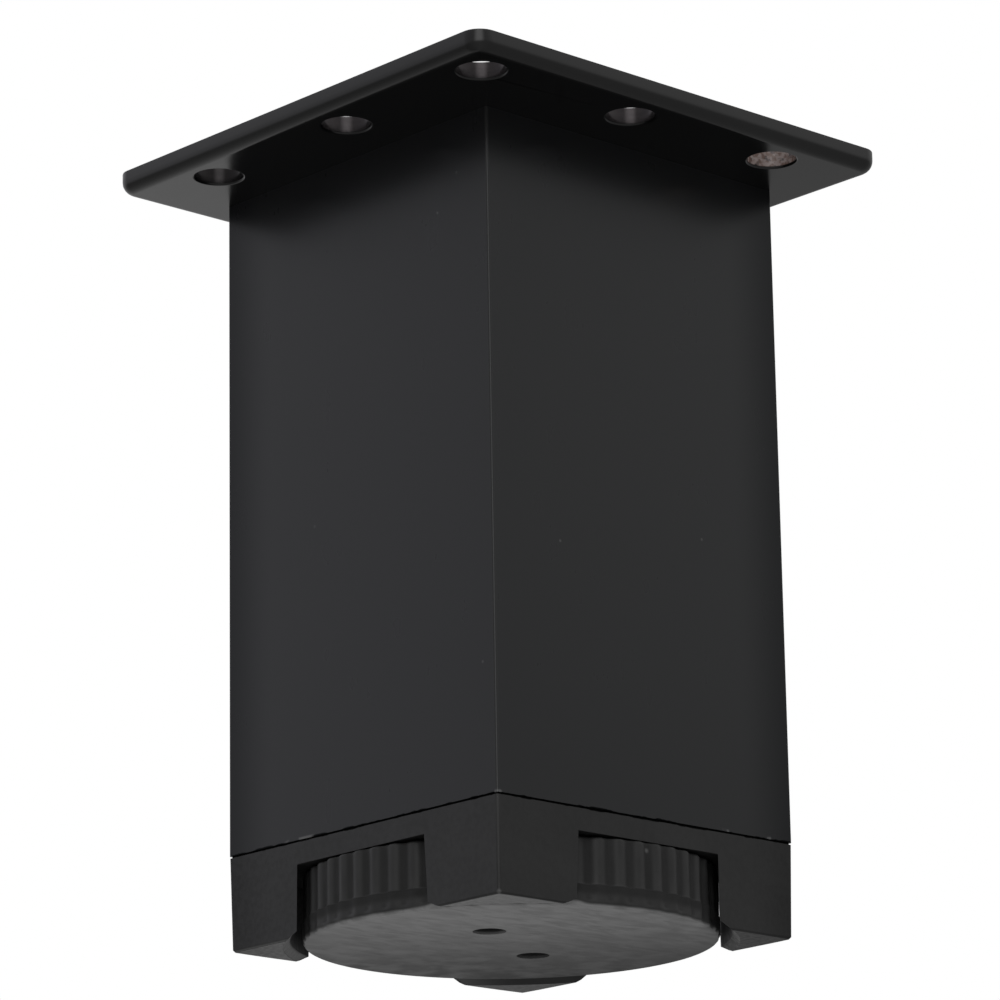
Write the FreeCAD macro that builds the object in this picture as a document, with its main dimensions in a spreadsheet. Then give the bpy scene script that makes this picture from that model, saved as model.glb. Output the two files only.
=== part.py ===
"""An adjustable cabinet leg: a square tube under an offset screw plate, with a levelling wheel in its foot.

All lengths are in millimetres. Z is the axis of the tube and of the levelling screw, and points up. The origin
lies on that axis, level with the underside of the four corner feet. The wheel is wound fully in.
"""

import FreeCAD, Part
import os

import Sketcher

doc = FreeCAD.newDocument("cabinet_leg")
sheet = doc.addObject("Spreadsheet::Sheet", "sizes")

# Sizes that can be set one by one
SIZES = {
    "tube_side": 50.0,
    "tube_wall": 1.5,
    "tube_length": 86.2,
    "tube_edge_radius": 0.3,
    "port_bore": 4.2,
    "port_wall": 1.5,
    "port_slot": 1.8,
    "plate_thickness": 2.8,
    "wide_overhang": 14.3,
    "narrow_overhang": 5.7,
    "plate_corner_radius": 2.5,
    "plate_edge": 1.2,
    "fixing_hole": 6.2,
    "fixing_inset": 5.8,
    "fixing_pitch": 25.0,
    "screw_head": 8.0,
    "screw_head_depth": 1.6,
    "screw_sink": 0.1,
    "screw_length": 16.0,
    "screw_clearance": 0.05,
    "screw_hole_gap": 0.2,
    "socket_flats": 3.0,
    "socket_depth": 1.0,
    "skirt_height": 12.2,
    "skirt_band": 3.0,
    "skirt_draft": 1.1,
    "skirt_corner_radius": 0.4,
    "skirt_chamfer": 0.3,
    "seam_gap": 0.25,
    "seam_rebate": 0.3,
    "wheel_proud": 1.1,
    "wheel_clearance": 1.5,
    "mouth_edge": 0.9,
    "plug_length": 12.0,
    "plug_wall": 1.8,
    "plug_clearance": 0.3,
    "tab_gap": 0.5,
    "tab_rib": 2.0,
    "crush_width": 1.6,
    "crush_place": 10.0,
    "crush_lead": 2.0,
    "boss_wall": 3.0,
    "boss_roof": 6.2,
    "boss_hole_gap": 0.5,
    "thread_diameter": 10.0,
    "thread_clearance": 0.05,
    "hex_flats": 16.0,
    "hex_clearance": 0.1,
    "nut_height": 8.4,
    "nut_sink": 0.2,
    "head_height": 6.4,
    "head_sink": 0.2,
    "travel": 15.0,
    "ring_thickness": 1.2,
    "ring_width": 3.0,
    "ring_gap": 4.0,
    "groove_depth": 0.4,
    "groove_clearance": 0.05,
    "bolt_tip": 3.8,
    "wheel_top_gap": 0.35,
    "wheel_sink": 0.3,
    "wheel_edge": 0.6,
    "parting_height": 2.8,
    "flute_count": 56,
    "flute_width": 1.9,
    "flute_depth": 0.4,
    "rim_wall": 2.8,
    "sole_thickness": 2.4,
    "hub_wall": 2.5,
    "rib_count": 8,
    "rib_thickness": 1.6,
    "rib_drop": 0.8,
    "spanner_hole": 4.2,
    "spanner_circle": 18.2,
    "spanner_angle": 60.0,
    "spanner_floor": 0.8,
}

# Sizes and levels that follow from them
FOLLOWING = {
    "tube_half": "tube_side / 2",
    "tube_inner": "tube_half - tube_wall",
    "port_bore_radius": "port_bore / 2",
    "port_radius": "port_bore_radius + port_wall",
    "port_centre": "tube_half - tube_wall / 2 - port_radius",
    "slot_shift": "port_slot / 2 * cos(45)",
    "slot_near_low": "port_centre - slot_shift",
    "slot_near_high": "port_centre + slot_shift",
    "slot_far_low": "port_centre - port_radius - slot_shift",
    "slot_far_high": "port_centre - port_radius + slot_shift",
    "wide_edge": "tube_half + wide_overhang",
    "narrow_edge": "tube_half + narrow_overhang",
    "fixing_radius": "fixing_hole / 2",
    "fixing_first": "wide_edge - fixing_inset",
    "fixing_second": "fixing_first - fixing_pitch",
    "fixing_third": "fixing_second - fixing_pitch",
    "seam_level": "skirt_height",
    "ceiling_level": "skirt_height - skirt_band",
    "seam_land": "tube_half - seam_rebate",
    "seam_reach": "tube_half + seam_rebate",
    "plate_level": "seam_level + tube_length",
    "top_level": "plate_level + plate_thickness",
    "shank_radius": "port_bore_radius - screw_clearance",
    "head_radius": "screw_head / 2",
    "head_level": "top_level - screw_sink",
    "neck_level": "head_level - screw_head_depth",
    "tip_level": "head_level - screw_length",
    "shank_far": "port_centre + shank_radius",
    "head_far": "port_centre + head_radius",
    "screw_hole_radius": "shank_radius + screw_hole_gap",
    "sink_radius": "head_radius + screw_hole_gap",
    "screw_hole_far": "port_centre + screw_hole_radius",
    "sink_far": "port_centre + sink_radius",
    "socket_half": "socket_flats / 2",
    "wheel_radius": "tube_half + wheel_proud",
    "pocket_radius": "wheel_radius + wheel_clearance",
    "mouth_radius": "pocket_radius + mouth_edge",
    "plug_half": "tube_inner - plug_clearance",
    "plug_inner": "plug_half - plug_wall",
    "tab_half": "port_centre - port_radius - tab_gap",
    "tab_rib_half": "tab_rib / 2",
    "crush_near": "crush_place - crush_width / 2",
    "crush_far": "crush_place + crush_width / 2",
    "crush_height": "plug_length - crush_lead",
    "nut_half": "hex_flats / 2",
    "nest_half": "nut_half + hex_clearance",
    "nest_corner": "nest_half / cos(30)",
    "nut_level": "ceiling_level + nut_sink",
    "nut_top": "nut_level + nut_height",
    "nest_depth": "nut_sink + nut_height",
    "boss_radius": "nest_corner + boss_wall",
    "boss_level": "nut_top + boss_roof",
    "boss_height": "boss_level - seam_level",
    "boss_hole": "thread_diameter / 2 + boss_hole_gap",
    "tab_root": "boss_radius - boss_wall / 2",
    "thread_radius": "thread_diameter / 2",
    "nut_bore": "thread_radius + thread_clearance",
    "bolt_head_top": "ceiling_level - head_sink",
    "bolt_head_level": "bolt_head_top - head_height",
    "ring_level": "boss_level + travel",
    "ring_top": "ring_level + ring_thickness",
    "bolt_end": "ring_top + bolt_tip",
    "groove_radius": "thread_radius - groove_depth",
    "ring_bore": "groove_radius + groove_clearance",
    "ring_radius": "ring_bore + ring_width",
    "ring_gap_half": "ring_gap / 2",
    "ring_reach": "ring_radius + ring_width",
    "wheel_level": "wheel_sink",
    "wheel_top": "ceiling_level - wheel_top_gap",
    "sole_radius": "wheel_radius - wheel_edge",
    "sole_edge_level": "wheel_level + wheel_edge",
    "flute_length": "wheel_top - wheel_level - parting_height",
    "flute_root": "wheel_radius - flute_depth",
    "flute_reach": "wheel_radius + flute_depth",
    "rim_inner": "flute_root - rim_wall",
    "web_level": "wheel_level + sole_thickness",
    "hub_radius": "nest_corner + hub_wall",
    "head_nest_depth": "ceiling_level - bolt_head_level",
    "rib_root": "hub_radius - hub_wall / 2",
    "rib_end": "rim_inner + rim_wall / 2",
    "rib_half": "rib_thickness / 2",
    "rib_height": "wheel_top - rib_drop - web_level",
    "spanner_radius": "spanner_hole / 2",
    "spanner_x": "spanner_circle / 2 * cos(spanner_angle)",
    "spanner_y": "spanner_circle / 2 * sin(spanner_angle)",
    "spanner_depth": "bolt_head_level - spanner_floor - wheel_level",
}

row = 0
for alias, number in SIZES.items():
    row += 1
    sheet.set(f"A{row}", alias)
    sheet.set(f"B{row}", str(number))
    sheet.setAlias(f"B{row}", alias)
for alias, formula in FOLLOWING.items():
    row += 1
    sheet.set(f"A{row}", alias)
    sheet.set(f"B{row}", f"={formula}")
    sheet.setAlias(f"B{row}", alias)
doc.recompute()


def signed(alias):
    """The number and the expression that an alias stands for, with a leading minus if it has one."""
    name = alias.lstrip("-")
    number = float(sheet.get(name))
    if alias.startswith("-"):
        return -number, f"-sizes.{name}"
    return number, f"sizes.{name}"


def tie(thing, path, alias):
    """Binds one property of a feature or sketch to a cell of the sheet."""
    thing.setExpression(path, signed(alias)[1])


def new_body(name):
    body = doc.addObject("PartDesign::Body", name)
    body.Label = name
    body.Placement = FreeCAD.Placement()
    return body


def origin_feature(body, role):
    return [item for item in body.Origin.OriginFeatures if item.Role == role][0]


def new_sketch(body, name, plane="XY_Plane", lift=None):
    """An empty sketch on one of the body's own planes, moved along the plane's normal by a size."""
    sketch = body.newObject("Sketcher::SketchObject", name)
    sketch.AttachmentSupport = [(origin_feature(body, plane), "")]
    sketch.MapMode = "FlatFace"
    if lift:
        tie(sketch, "AttachmentOffset.Base.z", lift)
    doc.recompute()
    return sketch


def pin(sketch, shape, point, x, y):
    """Holds one point of a sketch at the sizes x and y from the origin, where 0 means on that axis."""
    for size, kind, axis in ((x, "DistanceX", -2), (y, "DistanceY", -1)):
        if size == 0:
            sketch.addConstraint(Sketcher.Constraint("PointOnObject", shape, point, axis))
            continue
        number, expression = signed(size)
        index = sketch.addConstraint(Sketcher.Constraint(kind, -1, 1, shape, point, number))
        sketch.setExpression(f"Constraints[{index}]", expression)


def spot(x, y):
    """The starting position of a sketch point."""
    numbers = [0.0 if size == 0 else signed(size)[0] for size in (x, y)]
    return FreeCAD.Vector(numbers[0], numbers[1], 0)


def outline(sketch, corners):
    """A closed outline of straight lines through corners given as sizes."""
    first = sketch.GeometryCount
    count = len(corners)
    for i in range(count):
        start = spot(*corners[i])
        end = spot(*corners[(i + 1) % count])
        sketch.addGeometry(Part.LineSegment(start, end), False)
    for i in range(count):
        following = first + (i + 1) % count
        sketch.addConstraint(Sketcher.Constraint("Coincident", first + i, 2, following, 1))
        pin(sketch, first + i, 1, *corners[i])


def rectangle(sketch, left, low, right, high):
    outline(sketch, [(left, low), (right, low), (right, high), (left, high)])


def hold_centre(sketch, shape, x, y):
    """Holds the centre of a circle at the sizes x and y."""
    if x == 0 and y == 0:
        sketch.addConstraint(Sketcher.Constraint("Coincident", shape, 3, -1, 1))
    else:
        pin(sketch, shape, 3, x, y)


def circle(sketch, x, y, radius):
    """A circle whose centre and radius are sizes."""
    number, expression = signed(radius)
    shape = sketch.addGeometry(Part.Circle(spot(x, y), FreeCAD.Vector(0, 0, 1), number), False)
    hold_centre(sketch, shape, x, y)
    index = sketch.addConstraint(Sketcher.Constraint("Radius", shape, number))
    sketch.setExpression(f"Constraints[{index}]", expression)


def hexagon(sketch, half, x=0, y=0):
    """A regular hexagon with two flats across Y, its corners on a hidden circle round the point x, y."""
    number, expression = signed(half)
    corner = number / (3**0.5 / 2)
    middle = spot(x, y)
    first = sketch.GeometryCount
    turns = [FreeCAD.Rotation(FreeCAD.Vector(0, 0, 1), 60 * i) for i in range(7)]
    points = [middle + turn.multVec(FreeCAD.Vector(corner, 0, 0)) for turn in turns]
    for i in range(6):
        sketch.addGeometry(Part.LineSegment(points[i], points[i + 1]), False)
    guide = sketch.addGeometry(Part.Circle(middle, FreeCAD.Vector(0, 0, 1), corner), True)
    hold_centre(sketch, guide, x, y)
    for i in range(6):
        sketch.addConstraint(Sketcher.Constraint("Coincident", first + i, 2, first + (i + 1) % 6, 1))
        sketch.addConstraint(Sketcher.Constraint("PointOnObject", first + i, 1, guide))
    for i in range(1, 6):
        sketch.addConstraint(Sketcher.Constraint("Equal", first, first + i))
    sketch.addConstraint(Sketcher.Constraint("Horizontal", guide, 3, first, 1))
    index = sketch.addConstraint(Sketcher.Constraint("Distance", guide, 3, first + 1, number))
    sketch.setExpression(f"Constraints[{index}]", expression)


def axis_line(sketch, x):
    """A hidden upright line in a sketch, for turning a profile about an axis away from the origin."""
    foot = spot(x, 0)
    shape = sketch.addGeometry(Part.LineSegment(foot, foot + FreeCAD.Vector(0, 1, 0)), True)
    pin(sketch, shape, 1, x, 0)
    sketch.addConstraint(Sketcher.Constraint("Vertical", shape))
    sketch.addConstraint(Sketcher.Constraint("DistanceY", shape, 1, shape, 2, 1.0))


def feature(body, kind, name, sketch):
    item = body.newObject(f"PartDesign::{kind}", name)
    item.Profile = sketch
    sketch.Visibility = False
    return item


def settle(item, grows):
    """Recomputes a feature and makes sure that it adds or takes away material."""
    doc.recompute()
    before = item.BaseFeature.Shape.Volume if item.BaseFeature else 0.0
    change = item.Shape.Volume - before
    if (change > 0) != grows or abs(change) < 1e-6:
        raise RuntimeError(f"{item.Name} changes the volume by {change}")
    return item


def pad(body, name, sketch, length, downward=False, draft=None):
    item = feature(body, "Pad", name, sketch)
    tie(item, "Length", length)
    item.Reversed = downward
    if draft:
        tie(item, "TaperAngle", draft)
    return settle(item, True)


def pocket(body, name, sketch, depth=None, upward=False):
    """A pocket of a stated depth, or right through both ways if none is given."""
    item = feature(body, "Pocket", name, sketch)
    if depth:
        tie(item, "Length", depth)
        item.Reversed = upward
    else:
        item.Type = "ThroughAll"
        item.SideType = "Symmetric"
    return settle(item, False)


def turned(body, name, sketch, cuts=False, axis="V_Axis"):
    """A full turn of a profile about the sketch's upright axis or a hidden line."""
    item = feature(body, "Groove" if cuts else "Revolution", name, sketch)
    item.ReferenceAxis = (sketch, [axis])
    item.Angle = 360.0
    return settle(item, not cuts)


def around(body, name, originals, count, grows):
    """Copies features evenly round the leg's axis."""
    item = body.newObject("PartDesign::PolarPattern", name)
    item.Originals = originals
    item.Axis = (origin_feature(body, "Z_Axis"), [""])
    item.Angle = 360.0
    if isinstance(count, str):
        tie(item, "Occurrences", count)
    else:
        item.Occurrences = count
    body.Tip = item
    return settle(item, grows)


def dressed(body, kind, name, base, edges, size):
    """A fillet or chamfer on named edges of the last feature."""
    item = body.newObject(f"PartDesign::{kind}", name)
    item.Base = (base, edges)
    tie(item, "Radius" if kind == "Fillet" else "Size", size)
    return settle(item, False)


def upright_edges(shape):
    """The straight edges that run up the outside corners of a square piece."""
    names = []
    for i, edge in enumerate(shape.Edges, 1):
        ends = [vertex.Point for vertex in edge.Vertexes]
        if len(ends) == 2 and abs(ends[0].z - ends[1].z) > 0.9 * edge.Length:
            names.append(f"Edge{i}")
    return names


def level_edges(shape, level):
    """The edges that lie wholly at one height."""
    height = signed(level)[0] if level else 0.0
    names = []
    for i, edge in enumerate(shape.Edges, 1):
        box = edge.BoundBox
        if abs(box.ZMin - height) < 1e-4 and abs(box.ZMax - height) < 1e-4:
            names.append(f"Edge{i}")
    return names


# Mounting plate: pressed plate, wider on two sides of the tube, with five fixing holes in an L
mounting_plate = new_body("mounting_plate")
sketch = new_sketch(mounting_plate, "plate_outline", lift="plate_level")
rectangle(sketch, "-narrow_edge", "-wide_edge", "wide_edge", "narrow_edge")
plate_pad = pad(mounting_plate, "plate_blank", sketch, "plate_thickness")
plate_corners = dressed(
    mounting_plate, "Fillet", "plate_corners", plate_pad, upright_edges(plate_pad.Shape), "plate_corner_radius"
)
rims = level_edges(plate_corners.Shape, "plate_level")
dressed(mounting_plate, "Chamfer", "plate_rims", plate_corners, rims, "plate_edge")
sketch = new_sketch(mounting_plate, "fixing_hole_centres", lift="plate_level")
for x, y in (
    ("fixing_first", "-fixing_first"),
    ("fixing_second", "-fixing_first"),
    ("fixing_third", "-fixing_first"),
    ("fixing_first", "-fixing_second"),
    ("fixing_first", "-fixing_third"),
):
    circle(sketch, x, y, "fixing_radius")
pocket(mounting_plate, "fixing_holes", sketch)
sketch = new_sketch(mounting_plate, "counterbore_profile", "XZ_Plane", "-port_centre")
outline(
    sketch,
    [
        ("port_centre", "plate_level"),
        ("screw_hole_far", "plate_level"),
        ("screw_hole_far", "neck_level"),
        ("sink_far", "neck_level"),
        ("sink_far", "top_level"),
        ("port_centre", "top_level"),
    ],
)
axis_line(sketch, "port_centre")
counterbore = turned(mounting_plate, "counterbore", sketch, cuts=True, axis="Axis0")
around(mounting_plate, "counterbores", [counterbore], 4, False)

# Leg tube: extruded aluminium with a slotted screw port in each corner
leg_tube = new_body("leg_tube")
sketch = new_sketch(leg_tube, "tube_outline", lift="seam_level")
rectangle(sketch, "-tube_half", "-tube_half", "tube_half", "tube_half")
tube_pad = pad(leg_tube, "tube_blank", sketch, "tube_length")
dressed(leg_tube, "Fillet", "tube_edges", tube_pad, upright_edges(tube_pad.Shape), "tube_edge_radius")
sketch = new_sketch(leg_tube, "tube_inside", lift="seam_level")
rectangle(sketch, "-tube_inner", "-tube_inner", "tube_inner", "tube_inner")
pocket(leg_tube, "tube_hollow", sketch)
sketch = new_sketch(leg_tube, "port_outline", lift="seam_level")
circle(sketch, "port_centre", "port_centre", "port_radius")
port = pad(leg_tube, "port", sketch, "tube_length")
around(leg_tube, "ports", [port], 4, True)
sketch = new_sketch(leg_tube, "port_bore_outline", lift="seam_level")
circle(sketch, "port_centre", "port_centre", "port_bore_radius")
port_bore_cut = pocket(leg_tube, "port_bore_cut", sketch)
around(leg_tube, "port_bores", [port_bore_cut], 4, False)
sketch = new_sketch(leg_tube, "port_slot_outline", lift="seam_level")
outline(
    sketch,
    [
        ("slot_near_low", "slot_near_high"),
        ("slot_far_low", "slot_far_high"),
        ("slot_far_high", "slot_far_low"),
        ("slot_near_high", "slot_near_low"),
    ],
)
port_slot_cut = pocket(leg_tube, "port_slot_cut", sketch)
around(leg_tube, "port_slots", [port_slot_cut], 4, False)

# Plate screws: four low-head socket screws, let into the plate and driven into the tube's ports
plate_screws = new_body("plate_screws")
plate_screws.AllowCompound = True
sketch = new_sketch(plate_screws, "screw_profile", "XZ_Plane", "-port_centre")
outline(
    sketch,
    [
        ("port_centre", "tip_level"),
        ("shank_far", "tip_level"),
        ("shank_far", "neck_level"),
        ("head_far", "neck_level"),
        ("head_far", "head_level"),
        ("port_centre", "head_level"),
    ],
)
axis_line(sketch, "port_centre")
screw = turned(plate_screws, "screw", sketch, axis="Axis0")
sketch = new_sketch(plate_screws, "socket_outline", lift="head_level")
hexagon(sketch, "socket_half", "port_centre", "port_centre")
socket = pocket(plate_screws, "socket", sketch, "socket_depth")
around(plate_screws, "screws", [screw, socket], 4, True)

# End cap: moulded foot with four corner feet round the wheel's pocket, and a plug that grips inside the tube
end_cap = new_body("end_cap")
sketch = new_sketch(end_cap, "skirt_outline", lift="seam_level")
rectangle(sketch, "-tube_half", "-tube_half", "tube_half", "tube_half")
skirt = pad(end_cap, "skirt", sketch, "skirt_height", downward=True, draft="-skirt_draft")
skirt_corners = dressed(
    end_cap, "Fillet", "skirt_corners", skirt, upright_edges(skirt.Shape), "skirt_corner_radius"
)
rims = level_edges(skirt_corners.Shape, None)
dressed(end_cap, "Chamfer", "skirt_edges", skirt_corners, rims, "skirt_chamfer")
sketch = new_sketch(end_cap, "seam_rebate_outline", lift="seam_level")
rectangle(sketch, "-seam_reach", "-seam_reach", "seam_reach", "seam_reach")
rectangle(sketch, "-seam_land", "-seam_land", "seam_land", "seam_land")
pocket(end_cap, "seam_rebate_cut", sketch, "seam_gap")
sketch = new_sketch(end_cap, "wheel_pocket_profile", "XZ_Plane")
outline(
    sketch,
    [
        (0, 0),
        ("mouth_radius", 0),
        ("pocket_radius", "mouth_edge"),
        ("pocket_radius", "ceiling_level"),
        (0, "ceiling_level"),
    ],
)
turned(end_cap, "wheel_pocket", sketch, cuts=True)
sketch = new_sketch(end_cap, "boss_outline", lift="seam_level")
circle(sketch, 0, 0, "boss_radius")
pad(end_cap, "boss", sketch, "boss_height")
sketch = new_sketch(end_cap, "tab_outline", lift="seam_level")
outline(
    sketch,
    [
        ("plug_half", "-tab_half"),
        ("plug_half", "tab_half"),
        ("plug_inner", "tab_half"),
        ("plug_inner", "tab_rib_half"),
        ("tab_root", "tab_rib_half"),
        ("tab_root", "-tab_rib_half"),
        ("plug_inner", "-tab_rib_half"),
        ("plug_inner", "-tab_half"),
    ],
)
tab = pad(end_cap, "tab", sketch, "plug_length")
around(end_cap, "tabs", [tab], 4, True)
sketch = new_sketch(end_cap, "crush_rib_outline", lift="seam_level")
rectangle(sketch, "plug_half", "crush_near", "tube_inner", "crush_far")
rectangle(sketch, "plug_half", "-crush_far", "tube_inner", "-crush_near")
crush_rib = pad(end_cap, "crush_rib", sketch, "crush_height")
around(end_cap, "crush_ribs", [crush_rib], 4, True)
sketch = new_sketch(end_cap, "nut_nest_outline", lift="ceiling_level")
hexagon(sketch, "nest_half")
pocket(end_cap, "nut_nest", sketch, "nest_depth", upward=True)
sketch = new_sketch(end_cap, "boss_hole_outline", lift="seam_level")
circle(sketch, 0, 0, "boss_hole")
pocket(end_cap, "boss_hole_cut", sketch)

# Adjuster nut: steel hexagon nut held in the cap's nest
adjuster_nut = new_body("adjuster_nut")
sketch = new_sketch(adjuster_nut, "nut_outline", lift="nut_level")
hexagon(sketch, "nut_half")
pad(adjuster_nut, "nut_blank", sketch, "nut_height")
sketch = new_sketch(adjuster_nut, "nut_bore_outline", lift="nut_level")
circle(sketch, 0, 0, "nut_bore")
pocket(adjuster_nut, "nut_bore_cut", sketch)

# Adjuster bolt: its head sits in the wheel and its shank runs up through the nut
adjuster_bolt = new_body("adjuster_bolt")
sketch = new_sketch(adjuster_bolt, "bolt_head_outline", lift="bolt_head_level")
hexagon(sketch, "nut_half")
pad(adjuster_bolt, "bolt_head", sketch, "head_height")
sketch = new_sketch(adjuster_bolt, "shank_profile", "XZ_Plane")
outline(
    sketch,
    [
        (0, "bolt_head_top"),
        ("thread_radius", "bolt_head_top"),
        ("thread_radius", "ring_level"),
        ("groove_radius", "ring_level"),
        ("groove_radius", "ring_top"),
        ("thread_radius", "ring_top"),
        ("thread_radius", "bolt_end"),
        (0, "bolt_end"),
    ],
)
turned(adjuster_bolt, "shank", sketch)

# Stop ring: open spring ring in the bolt's groove, which meets the boss when the wheel is fully out
stop_ring = new_body("stop_ring")
sketch = new_sketch(stop_ring, "ring_outline", lift="ring_level")
circle(sketch, 0, 0, "ring_radius")
circle(sketch, 0, 0, "ring_bore")
pad(stop_ring, "ring_blank", sketch, "ring_thickness")
sketch = new_sketch(stop_ring, "ring_gap_outline", lift="ring_level")
rectangle(sketch, 0, "-ring_gap_half", "ring_reach", "ring_gap_half")
pocket(stop_ring, "ring_gap_cut", sketch)

# Adjuster wheel: moulded wheel with a fluted rim, a closed sole, a hub for the bolt's head and stiffening ribs
adjuster_wheel = new_body("adjuster_wheel")
sketch = new_sketch(adjuster_wheel, "wheel_profile", "XZ_Plane")
outline(
    sketch,
    [
        (0, "wheel_level"),
        ("sole_radius", "wheel_level"),
        ("wheel_radius", "sole_edge_level"),
        ("wheel_radius", "wheel_top"),
        ("rim_inner", "wheel_top"),
        ("rim_inner", "web_level"),
        ("hub_radius", "web_level"),
        ("hub_radius", "ceiling_level"),
        (0, "ceiling_level"),
    ],
)
turned(adjuster_wheel, "wheel_blank", sketch)
sketch = new_sketch(adjuster_wheel, "rib_outline", lift="web_level")
rectangle(sketch, "rib_root", "-rib_half", "rib_end", "rib_half")
rib = pad(adjuster_wheel, "rib", sketch, "rib_height")
around(adjuster_wheel, "ribs", [rib], "rib_count", True)
sketch = new_sketch(adjuster_wheel, "head_nest_outline", lift="ceiling_level")
hexagon(sketch, "nest_half")
pocket(adjuster_wheel, "head_nest", sketch, "head_nest_depth")
sketch = new_sketch(adjuster_wheel, "spanner_hole_centres", lift="wheel_level")
circle(sketch, "spanner_x", "-spanner_y", "spanner_radius")
circle(sketch, "-spanner_x", "spanner_y", "spanner_radius")
pocket(adjuster_wheel, "spanner_holes", sketch, "spanner_depth", upward=True)
sketch = new_sketch(adjuster_wheel, "flute_outline", lift="wheel_top")
outline(
    sketch,
    [
        ("flute_root", 0),
        ("flute_reach", "-flute_width"),
        ("flute_reach", "flute_width"),
    ],
)
flute = pocket(adjuster_wheel, "flute", sketch, "flute_length")
around(adjuster_wheel, "flutes", [flute], "flute_count", False)

doc.recompute()
for item in doc.Objects:
    if "Invalid" in item.State or "Error" in item.State:
        raise RuntimeError(f"{item.Name} failed: {item.State}")
bodies = [item for item in doc.Objects if item.isDerivedFrom("PartDesign::Body")]
for body in bodies:
    if body.Shape.isNull() or not body.Shape.isValid():
        raise RuntimeError(f"{body.Label} has no valid shape")
os.makedirs("parts", exist_ok=True)
for body in bodies:
    body.Shape.exportStep(f"parts/{body.Label}.step")
    box = body.Shape.BoundBox
    print(
        f"{body.Label}: {len(body.Shape.Solids)} solid, volume {body.Shape.Volume:.0f},"
        f" z {box.ZMin:.2f} to {box.ZMax:.2f}, x {box.XMin:.2f} to {box.XMax:.2f}"
    )
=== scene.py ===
import math

import bpy
from mathutils import Matrix, Vector


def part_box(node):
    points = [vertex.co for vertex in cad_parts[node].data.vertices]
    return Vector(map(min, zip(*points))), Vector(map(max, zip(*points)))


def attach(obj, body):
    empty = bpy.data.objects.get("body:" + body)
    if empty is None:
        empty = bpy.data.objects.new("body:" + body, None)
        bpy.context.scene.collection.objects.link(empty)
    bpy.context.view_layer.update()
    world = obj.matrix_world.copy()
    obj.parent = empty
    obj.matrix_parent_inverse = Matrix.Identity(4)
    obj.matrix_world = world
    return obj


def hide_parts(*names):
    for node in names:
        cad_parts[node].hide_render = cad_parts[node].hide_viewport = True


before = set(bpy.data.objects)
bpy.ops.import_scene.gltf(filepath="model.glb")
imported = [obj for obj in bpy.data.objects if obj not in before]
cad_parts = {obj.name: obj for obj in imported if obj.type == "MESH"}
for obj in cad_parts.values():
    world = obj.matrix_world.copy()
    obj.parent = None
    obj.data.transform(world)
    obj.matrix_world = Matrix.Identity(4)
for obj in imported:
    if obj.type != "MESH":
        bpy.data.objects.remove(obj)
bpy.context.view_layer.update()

# Leg tube
# A square aluminium extrusion, sawn to length, etched and anodised satin black.
# It is duller along its outer edges and has a few nicks. The saw left burrs at the lower end. Painted shade
# darkens the seam there, and a painted highlight lightens the near edge.
MM = 0.001
UPRIGHT = (1, 1, 0)
tube_low, tube_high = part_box("leg_tube")
tube_half = tube_high.x
burr_spots = (
    (-11.2 * MM, -tube_half, 3.2 * MM),
    (tube_half, -tube_half, 0.9 * MM),
    (tube_half, 13.2 * MM, 0.8 * MM),
    (tube_half, 20.6 * MM, 0.8 * MM),
)


def feed(tree, socket, value):
    """Links an input to a socket, or sets it to a plain value."""
    if isinstance(value, bpy.types.NodeSocket):
        tree.links.new(value, socket)
    else:
        socket.default_value = value


def put(tree, kind, **inputs):
    """A shader node with its inputs fed by name."""
    made = tree.nodes.new("ShaderNode" + kind)
    for name, value in inputs.items():
        feed(tree, made.inputs[name.replace("_", " ")], value)
    return made


def calc(tree, operation, *terms):
    """A sum on numbers or sockets."""
    made = tree.nodes.new("ShaderNodeMath")
    made.operation = operation
    for socket, term in zip(made.inputs, terms):
        feed(tree, socket, term)
    return made.outputs[0]


def fade(tree, value, low, high, first=0.0, last=1.0):
    """A smooth change from first to last while a value goes from low to high."""
    made = put(tree, "MapRange", Value=value, From_Min=low, From_Max=high, To_Min=first, To_Max=last)
    made.interpolation_type = "SMOOTHSTEP"
    return made.outputs["Result"]


def tint(tree, factor, first, second):
    """One colour turning into another."""
    made = tree.nodes.new("ShaderNodeMix")
    made.data_type = "RGBA"
    for index, value in ((0, factor), (6, first), (7, second)):
        feed(tree, made.inputs[index], value)
    return made.outputs[2]


def noise(tree, places, scale, detail=2.0, stretch=(1, 1, 1), warp=0.0):
    """A noise pattern with so many features to the metre, stretched along the axes."""
    moved = put(tree, "Mapping", Vector=places, Scale=stretch)
    made = put(tree, "TexNoise", Vector=moved.outputs["Vector"], Scale=scale, Detail=detail, Distortion=warp)
    return made.outputs["Fac"]


def away(tree, places, point, flat=(1, 1, 1)):
    """The distance from a point, or from the line through it along an axis whose flat value is 0."""
    moved = places
    for operation, term in (("SUBTRACT", point), ("MULTIPLY", flat)):
        step = put(tree, "VectorMath")
        step.operation = operation
        feed(tree, step.inputs[0], moved)
        feed(tree, step.inputs[1], term)
        moved = step.outputs["Vector"]
    size = put(tree, "VectorMath")
    size.operation = "LENGTH"
    feed(tree, size.inputs[0], moved)
    return size.outputs["Value"]


def grey(level, blue=0.0):
    """A grey, with a touch of blue where asked for."""
    return (level, level, level + blue, 1)


def effect(name, inputs, outputs):
    """An empty node group for an effect that several finishes share."""
    tree = bpy.data.node_groups.new(name, "ShaderNodeTree")
    for socket, kind in inputs:
        tree.interface.new_socket(socket, in_out="INPUT", socket_type=kind)
    for socket, kind in outputs:
        tree.interface.new_socket(socket, in_out="OUTPUT", socket_type=kind)
    return tree, tree.nodes.new("NodeGroupInput"), tree.nodes.new("NodeGroupOutput")


def use_effect(tree, group, **inputs):
    """A shared effect put to use in a finish."""
    made = tree.nodes.new("ShaderNodeGroup")
    made.node_tree = group
    for name, value in inputs.items():
        feed(tree, made.inputs[name], value)
    return made


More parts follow.
